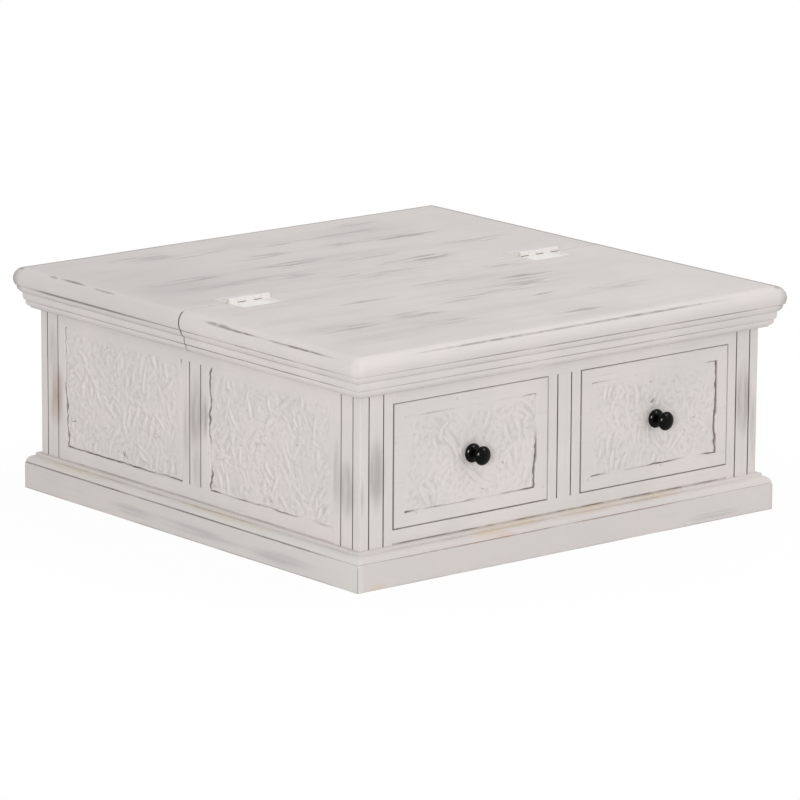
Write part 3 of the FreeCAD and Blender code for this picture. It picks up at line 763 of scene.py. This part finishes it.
def top_layers(point, strokes, clouds):
    x, y, z = places(point)
    bands = cloud(stretched(point, (2.5, 24.0, 24.0)), 1.0, 3.0)
    feather = cloud(stretched(point, (13.0, 110.0, 110.0)), 1.0, 3.0)
    inside = rise(abs(x), top_edge - NOSE_REACH, top_edge - 5 * NOSE_REACH)
    inside = inside * rise(abs(y), top_edge - NOSE_REACH, top_edge - 3 * NOSE_REACH)
    inside = inside * rise(z, top_face - 0.3 * NOSE_REACH, top_face - 0.1 * NOSE_REACH)
    brushed = rise(feather, 0.44, 0.60)
    dull = 0.10 + 0.20 * rise(x, 0.1, -0.2) + 0.4 * spot(point, (-0.30, 0.14, top_face), (0.22, 0.20, 0.05))
    dull = rise(y, -0.004, 0.02) * dull
    layers = [(dull, WHITE_SHADE)]
    layers.append((0.30 * rise(bands, 0.46, 0.70) * inside * rise(x, 0.32, 0.05), VIOLET_GREY))
    ragged = cloud(stretched(point, (10.0, 60.0, 60.0)), 1.0, 4.0).beside("Color")
    ragged = ragged.node("VectorMath", {"operation": "SUBTRACT"}, {0: ragged, 1: (0.5, 0.5, 0.5)})
    ragged = ragged.node("VectorMath", {"operation": "MULTIPLY_ADD"}, {0: ragged, 1: STREAK_WAVER, 2: point})
    pale, dark = 0.0, 0.0
    for across, deep, length, breadth in PALE_STREAKS:
        pale = spot(ragged, (across, deep, top_face), (1.5 * length, 1.9 * breadth, 0.02)) + pale
    for across, deep, length, breadth in DARK_STREAKS:
        dark = spot(ragged, (across, deep, top_face), (1.4 * length, 2.3 * breadth, 0.02)) + dark
    layers.append((0.70 * brushed * pale * inside, VIOLET_GREY))
    layers.append((0.66 * brushed * dark * inside, BARE_GREY_AND_SHADE))
    # Painted highlight: a paler band round the outer edge of the top, over its nose.
    edge = rise(abs(x) | abs(y), top_edge - 1.2 * NOSE_REACH, top_edge - 0.6 * NOSE_REACH)
    layers.append((0.3 * edge, WHITE))
    # Painted shade: a grey line along the upper nose at the rear and right edges of the top, where it turns
    # away.
    rim = rise(x | y, top_edge - 1.65 * NOSE_REACH, top_edge - 1.40 * NOSE_REACH)
    rim = rim * rise(z, top_face - 0.4 * NOSE_REACH, top_face - 0.2 * NOSE_REACH)
    layers.append((0.7 * rim, BARE_GREY_AND_SHADE))
    broken = 0.5 + 0.5 * rise(cloud(stretched(point, (60.0, 60.0, 240.0)), 1.0, 3.0), 0.36, 0.56)
    for middle, reach, paint in NOSE_BREAKS:
        layers.append((0.85 * broken * spot(point, middle, reach), paint))
    front = sides_of(x, y)[1]
    clear = clear_of_corners(x, y) * (1 - 0.7 * front * rise(x, -0.10, -0.24))
    quirk = rise(abs(z - board_foot - BEAD_HEIGHT), 1.3 * LINE_REACH, 0.5 * LINE_REACH)
    layers.append((0.35 * rise(clouds, 0.30, 0.50) * quirk * clear, UNDERCOAT_AND_GAP_SHADE))
    worn = rise(abs(z - board_foot - BEAD_HEIGHT), 2.4 * LINE_REACH, 0.9 * LINE_REACH)
    worn = worn * dark_side(x, y) * rise(y, 0.03, 0.17) * rise(y, 0.325, 0.27)
    layers.append((0.85 * worn, LINE_GREY))
    seam = rise(z, board_foot + LINE_REACH, board_foot + 0.3 * LINE_REACH)
    seam = seam * rise(abs(x) | abs(y), top_edge - 2.0 * NOSE_REACH, top_edge - 1.4 * NOSE_REACH)
    layers.append((0.22 * rise(clouds, 0.32, 0.5) * seam * clear, UNDERCOAT_AND_GAP_SHADE))
    cut = rise(abs(y), seam_face + 0.7 * LINE_REACH, seam_face + 0.2 * LINE_REACH)
    cut = cut * rise(z, top_face - SEAM_EASE, top_face - 2 * SEAM_EASE)
    at_nose = rise(abs(x), top_edge - 1.6 * NOSE_REACH, top_edge - 0.8 * NOSE_REACH)
    layers.append(((0.15 + 0.6 * at_nose) * cut, UNDERCOAT_AND_GAP_SHADE))
    return layers


def moulding_layers(point, strokes, clouds):
    x, y, z = places(point)
    left, front = sides_of(x, y)
    near = left * rise(y, 0.05, -0.02)
    clear = clear_of_corners(x, y) * (1 - 0.7 * front * rise(x, -0.10, -0.24))
    band = rise(abs(z - board_foot + BAND_HEIGHT), LINE_REACH, 0.4 * LINE_REACH)
    band = band * (1 - 0.8 * front * rise(x, 0.16, 0.28))
    seam = rise(z, board_foot - LINE_REACH, board_foot - 0.3 * LINE_REACH)
    foot = rise(z, moulding_foot + 1.4 * LINE_REACH, moulding_foot + 0.4 * LINE_REACH)
    cut = rise(abs(y), seam_face + 0.3 * LINE_REACH, seam_face + 0.1 * LINE_REACH)
    broken = rise(clouds, 0.28, 0.48)
    return [
        ((0.16 + 0.36 * near + 0.14 * front) * broken * seam * clear, UNDERCOAT_AND_GAP_SHADE),
        ((0.30 + 0.40 * near) * broken * band * clear, UNDERCOAT_AND_GAP_SHADE),
        (0.5 * broken * foot, BARE_GREY_AND_SHADE),
        (0.5 * cut, UNDERCOAT_AND_GAP_SHADE),
    ]


def at_seam(start, end):
    return max(abs(start.y), abs(end.y)) < seam_face + WELD


LID_SHIFT = Vector((3.1, 1.7, 0.4))
top_paint = chalk_paint("top paint", 0, top_layers)
front_board = painted("front_top_board", (0, 1), top_paint, at_seam, SEAM_EASE)
lid_board = painted("lid_board", (0, 1), top_paint, at_seam, SEAM_EASE, LID_SHIFT)
# Paint softens the nose where it turns the corner.
for board in (front_board, lid_board):
    corners = [vertex.co for vertex in board.data.vertices]
    for edge in board.data.edges:
        ends = [corners[number] for number in edge.vertices]
        if max(abs(abs(end.x) - abs(end.y)) for end in ends) < CORNER_REACH:
            edge.use_edge_sharp = False
moulding_paints = both_ways("moulding paint", moulding_layers)
for node in sorted(nodes):
    if "_moulding_" in node:
        axis = way_of(node)
        painted(node, (axis,), moulding_paints[axis])

# Hinges
# Two steel butt hinges let in flush over the cut and held by slotted screws, with their knuckles standing up
# along it. The leaves are painted cream white with the rest, and painted shade lies in the slots in front of
# the lid's knuckles.
HINGE_CREAM = tone(237, 234, 229)
HINGE_WORN = tone(190, 182, 172)
PIN_STEEL = tone(206, 202, 196)
PIN_TARNISH = tone(120, 112, 104)
HINGE_LENGTH = 0.064
KNUCKLE_PITCH = HINGE_LENGTH / 5
KNUCKLE_RADIUS = 0.0037
LID_KNUCKLES = ((1, 3), (0, 2, 4))
SLOT_REACH = 0.0050
SLOT_SHADE_HEIGHT = 0.0010
LEAF_START = 0.004
BARREL_RISE = 0.0030
SCREW_SHARES = (0.14, 0.5, 0.86)
SCREW_PLACE = 0.020
SCREW_RADIUS = 0.0030
SCREW_RISE = 0.0005
SCREW_SLOT = 0.0008
SLOT_FLOOR = 0.0001
SCREW_STEPS = 12
hinge_low, hinge_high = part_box("hinge_front_leaves")
hinge_starts = (hinge_low.x, hinge_high.x - HINGE_LENGTH)


def coated_metal(name, paint, bare, roughness, wear, shade_in_slots=None, film=None):
    """Metal under a coat of paint or lacquer. wear is how much of the coat is gone. The first of the two
    masks is painted shade in the slots by the knuckles, and film is paint brushed over from the wood beside
    it."""
    material, shader, point = new_finish(name)
    fine = cloud(point, 620.0, 3.0)
    patches = cloud(point, 90.0, 3.0)
    gone = rise(patches * 0.7 + fine * 0.3, 0.66 - wear, 0.74 - wear)
    colour = mixed(paint, bare, gone)
    if shade_in_slots:
        colour = mixed(colour, COOL_WHITE, film(point))
        colour = mixed(colour, UNDERCOAT_AND_GAP_SHADE, shade_in_slots(point))
    lay_on(shader, colour, roughness + 0.12 * fine + 0.1 * gone, fine - gone, 0.2, 0.0002)
    return material


def knuckle_slot_shade(point):
    """Painted shade in the slots in front of the knuckles that belong to the lid."""
    x, y, z = places(point)
    slot_shade = 0.0
    for start, numbers in zip(hinge_starts, LID_KNUCKLES):
        for number in numbers:
            middle = start + (number + 0.5) * KNUCKLE_PITCH
            slot_shade = rise(abs(x - middle), 0.52 * KNUCKLE_PITCH, 0.44 * KNUCKLE_PITCH) + slot_shade
    low_front = rise(y, -0.2 * KNUCKLE_RADIUS, -0.6 * KNUCKLE_RADIUS)
    low_front = low_front * rise(y, -1.08 * SLOT_REACH, -0.92 * SLOT_REACH)
    return 0.42 * slot_shade * low_front * rise(z, top_face + 1.4 * SLOT_SHADE_HEIGHT, top_face + 0.6 * SLOT_SHADE_HEIGHT)


def brushed_over(point):
    """Where the brush has carried the paint of the top over the metal: thick on the rear leaves, thinner on
    the knuckles, and on the front leaves towards their right ends."""
    x, y, z = places(point)
    rear = rise(y, LEAF_START, 1.5 * LEAF_START)
    barrel = rise(z, top_face + 0.4 * BARREL_RISE, top_face + BARREL_RISE)
    ends = 0.0
    for start in hinge_starts:
        right_end = rise(x, start + 0.62 * HINGE_LENGTH, start + 0.95 * HINGE_LENGTH)
        ends = right_end * rise(x, start + 0.2, start + 0.1) + ends
    return rear | (0.7 * barrel) | (0.8 * ends * rise(y, -LEAF_START, -2.5 * LEAF_START))


hinge_paint = coated_metal("hinge paint", HINGE_CREAM, HINGE_WORN, 0.4, -0.02, knuckle_slot_shade, brushed_over)
pin_steel = coated_metal("pin steel", PIN_STEEL, PIN_TARNISH, 0.4, 0.1)
coat("hinge_front_leaves", hinge_paint)
coat("hinge_rear_leaves", hinge_paint)
coat("hinge_pins", pin_steel)


def turned(form, profile, axis_point, turns, to_place):
    """Adds a turned shape to a mesh form from (radius, height) points, closed where the radius is 0."""
    rings = []
    for radius, height in profile:
        if radius:
            angles = [2 * math.pi * turn / turns for turn in range(turns)]
            ring = [(radius * math.cos(a), radius * math.sin(a), height) for a in angles]
        else:
            ring = [(0, 0, height)]
        rings.append([form.verts.new(axis_point + to_place @ Vector(place)) for place in ring])
    for lower, upper in zip(rings, rings[1:]):
        for turn in range(turns):
            corners = [lower[turn % len(lower)], lower[(turn + 1) % len(lower)]]
            corners += [upper[(turn + 1) % len(upper)], upper[turn % len(upper)]]
            form.faces.new(list(dict.fromkeys(corners)))


def piece_from(form, name, material, body):
    """A new piece from a mesh form, on its body."""
    mesh = bpy.data.meshes.new(name)
    bmesh.ops.recalc_face_normals(form, faces=form.faces)
    form.to_mesh(mesh)
    form.free()
    mesh.materials.append(material)
    crisp_edges(mesh, CRISP_TURN)
    piece = bpy.data.objects.new(name, mesh)
    bpy.context.scene.collection.objects.link(piece)
    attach(piece, body)
    return piece


def slotted_screw(form, place, angle):
    """A countersunk head: two half discs with the slot between them, over the floor of the slot."""
    spin = Matrix.Rotation(angle, 3, "Z")
    turned(form, [(0, SLOT_FLOOR), (0.96 * SCREW_RADIUS, SLOT_FLOOR)], place, 2 * SCREW_STEPS, spin)
    start = math.asin(SCREW_SLOT / 2 / SCREW_RADIUS)
    arc = [start + (math.pi - 2 * start) * step / SCREW_STEPS for step in range(SCREW_STEPS + 1)]
    for side in (1, -1):
        rows = []
        for share, height in ((1.0, 0.0), (0.94, SCREW_RISE), (0.6, 1.25 * SCREW_RISE)):
            row = []
            for a in arc:
                aside = max(share * SCREW_RADIUS * math.sin(a), SCREW_SLOT / 2)
                corner = Vector((share * SCREW_RADIUS * math.cos(a), side * aside, height))
                row.append(form.verts.new(place + spin @ corner))
            rows.append(row)
        for lower, upper in zip(rows, rows[1:]):
            for step in range(SCREW_STEPS):
                form.faces.new([lower[step], lower[step + 1], upper[step + 1], upper[step]])
            form.faces.new([lower[-1], lower[0], upper[0], upper[-1]])
        form.faces.new(rows[-1])


for leaf, body, hand in (("hinge_front_leaves", "carcass", -1), ("hinge_rear_leaves", "lid", 1)):
    form = bmesh.new()
    for number in range(6):
        along = hinge_starts[number // 3] + SCREW_SHARES[number % 3] * HINGE_LENGTH
        slotted_screw(form, Vector((along, hand * SCREW_PLACE, top_face)), 0.5 + 1.9 * number)
    piece_from(form, leaf.replace("leaves", "screws"), hinge_paint, body)

# Drawers
# A front board with a carved panel let into it, and a box of limed wood grooved for its bottom. The brown
# undercoat shows in the gap round the front, and painted shade darkens the gap along each front's left edge.
front_low, front_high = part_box("drawer_right_front")
drawer_face = -front_low.y
front_thickness = front_high.y - front_low.y
INSERT_GAP = 0.0010
GAP_LINE = 0.0005
SEAT_RADIUS = 0.0125
DRAWER_MARGINS = {"left": 0.008, "right": 0.003, "bottom": 0.003, "top": 0.007}
DRAWER_RELIEF = 0.55
RIGHT_CRACKS = {"left": (1.1, 0.5, 0.0052, 0.0018), "right": (1.1, 1.0, 0.0034, 0.0030)}
LEVEL_CRACKS = {"bottom": (0.6, 0.5, 0.0010, 0.0010), "top": (0.2, 0.4, 0.0008, 0.0008)}
DRAWER_GRAIN = {"sides": 1, "back": 0, "bottom": 0}


def drawer_layers(point, strokes, clouds):
    x, y, z = places(point)
    depth = y + drawer_face
    edge = rise(depth, 0.6 * GAP_LINE, 2.4 * GAP_LINE) * rise(depth, front_thickness, 0.9 * front_thickness)
    # Painted shade in the gap along each drawer front's left edge, only as deep as the gap shows.
    left_gap_shade = 0.0
    for side in ("left", "right"):
        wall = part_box("drawer_" + side + "_front")[0].x
        left_gap_shade = rise(abs(x - wall), 2.8 * GAP_LINE, GAP_LINE) | left_gap_shade
    left_gap_shade = left_gap_shade * rise(depth, 8 * GAP_LINE, 5 * GAP_LINE)
    nicks = rise(cloud(point, 130.0, 1.0), 0.74, 0.77)
    return [(0.35 * edge, BARE_BROWN), (0.8 * left_gap_shade, UNDERCOAT_AND_GAP_SHADE), (0.6 * nicks, THIN_WHITE_AND_SHADE)]


drawer_paint = chalk_paint("drawer paint", 0, drawer_layers)
for seed, side in ((41, "left"), (47, "right")):
    drawer = "drawer_" + side
    painted(drawer + "_front", (0, 2), drawer_paint, shift=Vector((0.8 * seed, 0, 0)))
    low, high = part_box(drawer + "_carved_panel")
    start = Vector((low.x - INSERT_GAP, high.y, low.z - INSERT_GAP))
    size = (high.x - low.x + 2 * INSERT_GAP, high.z - low.z + 2 * INSERT_GAP, high.y + drawer_face)
    seat = ((size[0] / 2, size[1] / 2), SEAT_RADIUS, -(drawer_face + low.y))
    ways = SIDE_WAYS["front"]
    cracked = {"right": RIGHT_CRACKS[side]} | LEVEL_CRACKS
    carved(drawer + "_carved_panel", start, size, ways, seed, DRAWER_MARGINS, cracked, DRAWER_RELIEF, seat)
    for name, axis in DRAWER_GRAIN.items():
        coat(drawer + "_" + name, limed_woods[axis])

# Knobs
# Each is a rose and a flattened bead on a short neck, turned in one from metal and lacquered black. A stud
# holds it through the drawer front, with a washer and a nut inside.
LACQUER_BLACK = tone(10, 9, 8)
LACQUER_WORN = tone(26, 23, 20)
LACQUER_GLOSS = 0.075
NUT_STEEL = tone(176, 172, 164)
NUT_TARNISH = tone(120, 108, 94)
KNOB_TURNS = 56
ROSE_STEPS = 20
BEAD_STEPS = 28
TIP_TURN = math.radians(86)
NUT_SIDES = 6
BEAD_ROUND = 0.0055
ROSE_ROUND = 0.0051
ROSE_MIDDLE = 0.0036
NECK_RADIUS = 0.0044
STUD_RADIUS = 0.0025
WASHER_RADIUS = 0.0065
WASHER_THICKNESS = 0.0010
NUT_RADIUS = 0.0046
NUT_THICKNESS = 0.0028
EDGE_ROUND = 0.0003
knob_black = coated_metal("knob black", LACQUER_BLACK, LACQUER_WORN, 0.10, -0.02)
knob_black.node_tree.nodes["Principled BSDF"].inputs["Specular IOR Level"].default_value = LACQUER_GLOSS
nut_steel = coated_metal("nut steel", NUT_STEEL, NUT_TARNISH, 0.3, 0.05)
nut_steel.node_tree.nodes["Principled BSDF"].inputs["Metallic"].default_value = 1.0
OUTWARD = Matrix.Rotation(math.radians(90), 3, "X")
knobs = bpy.data.collections.new("knobs")


def rounded(middle, reach, start, end, steps):
    """Points on an oval round about the axis, as (radius, height)."""
    angles = [start + (end - start) * step / steps for step in range(steps + 1)]
    return [(reach[0] * math.cos(a), middle + reach[1] * math.sin(a)) for a in angles]


for side in ("left", "right"):
    drawer = "drawer_" + side
    low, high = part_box(drawer + "_knob")
    panel_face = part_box(drawer + "_carved_panel")[0].y
    base = Vector(((low.x + high.x) / 2, panel_face, (low.z + high.z) / 2))
    tip = panel_face - low.y
    bead_radius = (high.x - low.x) / 2
    neck_turn = math.acos(NECK_RADIUS / bead_radius)
    stud_end = panel_face - high.y
    foot_turn = -math.asin(ROSE_MIDDLE / ROSE_ROUND)
    profile = [(0, stud_end), (STUD_RADIUS - EDGE_ROUND, stud_end)]
    profile += [(STUD_RADIUS, stud_end + EDGE_ROUND), (STUD_RADIUS, 0)]
    profile += rounded(ROSE_MIDDLE, (bead_radius, ROSE_ROUND), foot_turn, neck_turn, ROSE_STEPS)
    profile += rounded(tip - BEAD_ROUND, (bead_radius, BEAD_ROUND), -neck_turn, TIP_TURN, BEAD_STEPS)
    profile += [(0, tip)]
    form = bmesh.new()
    turned(form, profile, base, KNOB_TURNS, OUTWARD)
    knob = piece_from(form, "bead_knob_" + side, knob_black, drawer)
    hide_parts(drawer + "_knob")
    knobs.objects.link(knob)
    seat = Vector((base.x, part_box(drawer + "_front")[1].y, base.z))
    form = bmesh.new()
    washer = [(STUD_RADIUS, 0), (WASHER_RADIUS, 0), (WASHER_RADIUS, EDGE_ROUND - WASHER_THICKNESS)]
    washer += [(WASHER_RADIUS - EDGE_ROUND, -WASHER_THICKNESS), (STUD_RADIUS, -WASHER_THICKNESS)]
    turned(form, washer, seat, KNOB_TURNS, OUTWARD)
    nut_end = -WASHER_THICKNESS - NUT_THICKNESS
    nut = [(STUD_RADIUS, -WASHER_THICKNESS), (NUT_RADIUS - EDGE_ROUND, -WASHER_THICKNESS)]
    nut += [(NUT_RADIUS, -WASHER_THICKNESS - EDGE_ROUND), (NUT_RADIUS, nut_end + EDGE_ROUND)]
    nut += [(NUT_RADIUS - EDGE_ROUND, nut_end), (STUD_RADIUS, nut_end)]
    turned(form, nut, seat, NUT_SIDES, OUTWARD)
    piece_from(form, "knob_nut_" + side, nut_steel, drawer)

# Studio
# A plain white floor that keeps the shadow, a pale sky all round, and soft lamps overhead, at the front and
# at the near corner. Two more lamps light the knobs alone, for the dots of gloss on them. The camera stands
# where the one of the photograph stood.
FLOOR_REACH = 20.0
FLOOR_WHITE = 0.78
NEAR_GLOW = 0.97
NEAR_REACH = 0.45
FAR_REACH = 0.75
floor_mesh = bpy.data.meshes.new("floor")
floor_corners = [(-FLOOR_REACH, -FLOOR_REACH, 0), (FLOOR_REACH, -FLOOR_REACH, 0)]
floor_corners += [(FLOOR_REACH, FLOOR_REACH, 0), (-FLOOR_REACH, FLOOR_REACH, 0)]
floor_mesh.from_pydata(floor_corners, [], [(0, 1, 2, 3)])
floor = bpy.data.objects.new("floor", floor_mesh)
bpy.context.scene.collection.objects.link(floor)
floor_paint = bpy.data.materials.new("floor white")
floor_paint.use_nodes = True
tree = floor_paint.node_tree
shader = tree.nodes["Principled BSDF"]
shader.inputs["Base Color"].default_value = (FLOOR_WHITE, FLOOR_WHITE, FLOOR_WHITE, 1.0)
shader.inputs["Roughness"].default_value = 0.9
shader.inputs["Specular IOR Level"].default_value = 0.0
seen = Wire(tree).node("LightPath", {}, {}, "Is Camera Ray")
seen = seen | seen.beside("Is Glossy Ray") | seen.beside("Is Transmission Ray")
glow = seen.node("Emission", {}, {"Color": (1.0, 1.0, 1.0, 1.0), "Strength": 1.0})
lit = Wire(tree, shader.outputs[0])
floor_point = seen.node("TexCoord", {}, {}, "Object")
away = floor_point.node("VectorMath", {"operation": "LENGTH"}, {0: floor_point}, 1)
share = NEAR_GLOW + (1 - NEAR_GLOW) * rise(away, NEAR_REACH, FAR_REACH)
floor_mix = seen.node("MixShader", {}, {0: share * seen, 1: lit, 2: glow})
tree.links.new(floor_mix.socket, tree.nodes["Material Output"].inputs["Surface"])
floor_mesh.materials.append(floor_paint)

SKY_STRENGTH = 0.64
world = bpy.data.worlds.new("studio")
bpy.context.scene.world = world
world.use_nodes = True
tree = world.node_tree
backdrop = tree.nodes["Background"]
backdrop.inputs["Color"].default_value = (1.0, 1.0, 1.0, 1.0)
path = Wire(tree).node("LightPath", {}, {}, "Is Camera Ray")
bright = path | path.beside("Is Glossy Ray") | path.beside("Is Transmission Ray")
strength = SKY_STRENGTH + (1 - SKY_STRENGTH) * bright
tree.links.new(strength.socket, backdrop.inputs["Strength"])

TABLE_MIDDLE = Vector((0, 0, 0.15))
CATCH_LIGHTS = (
    ("front catch light", (-1.3, -2.65, 0.72), 145.0),
    ("right catch light", (1.36, -2.18, 1.69), 33.0),
)


def softbox(name, place, size, power):
    """A square lamp that faces the middle of the table."""
    lamp = bpy.data.lights.new(name, "AREA")
    lamp.shape = "SQUARE"
    lamp.size = size
    lamp.energy = power
    box = bpy.data.objects.new(name, lamp)
    box.location = place
    box.rotation_euler = (TABLE_MIDDLE - Vector(place)).to_track_quat("-Z", "Y").to_euler()
    bpy.context.scene.collection.objects.link(box)
    return box


softbox("overhead softbox", (0.9, -0.7, 2.9), 0.8, 18.0)
softbox("fill softbox", (2.0, -3.4, 1.1), 1.0, 6.5)
key = softbox("key softbox", (-4.4, -4.1, 1.4), 1.1, 140.0)
key.visible_camera = False
for name, place, power in CATCH_LIGHTS:
    catch = softbox(name, place, 0.7, power)
    catch.light_linking.receiver_collection = knobs
    catch.visible_diffuse = False
    catch.visible_camera = False

VIEW_AZIMUTH = math.radians(-39.576)
VIEW_ELEVATION = math.radians(12.934)
VIEW_ROLL = math.radians(0.343)
VIEW_DISTANCE = 7.0442
VIEW_LENS = 247.98
VIEW_MIDDLE = Vector((0, 0, 0.14075))
VIEW_RIGHT = 0.0040
VIEW_DOWN = 0.01129
back = Vector((
    math.sin(VIEW_AZIMUTH) * math.cos(VIEW_ELEVATION),
    -math.cos(VIEW_AZIMUTH) * math.cos(VIEW_ELEVATION),
    math.sin(VIEW_ELEVATION),
))
right = Vector((math.cos(VIEW_AZIMUTH), math.sin(VIEW_AZIMUTH), 0))
upward = back.cross(right)
camera_data = bpy.data.cameras.new("camera")
camera_data.lens = VIEW_LENS
camera_data.sensor_width = 36.0
camera = bpy.data.objects.new("camera", camera_data)
axes = Matrix((right, upward, back)).transposed()
camera.rotation_euler = (axes @ Matrix.Rotation(VIEW_ROLL, 3, "Z")).to_euler()
camera.location = VIEW_MIDDLE + VIEW_DISTANCE * back + VIEW_RIGHT * right - VIEW_DOWN * upward
bpy.context.scene.collection.objects.link(camera)
bpy.context.scene.camera = camera
bpy.context.scene.view_settings.view_transform = "Standard"
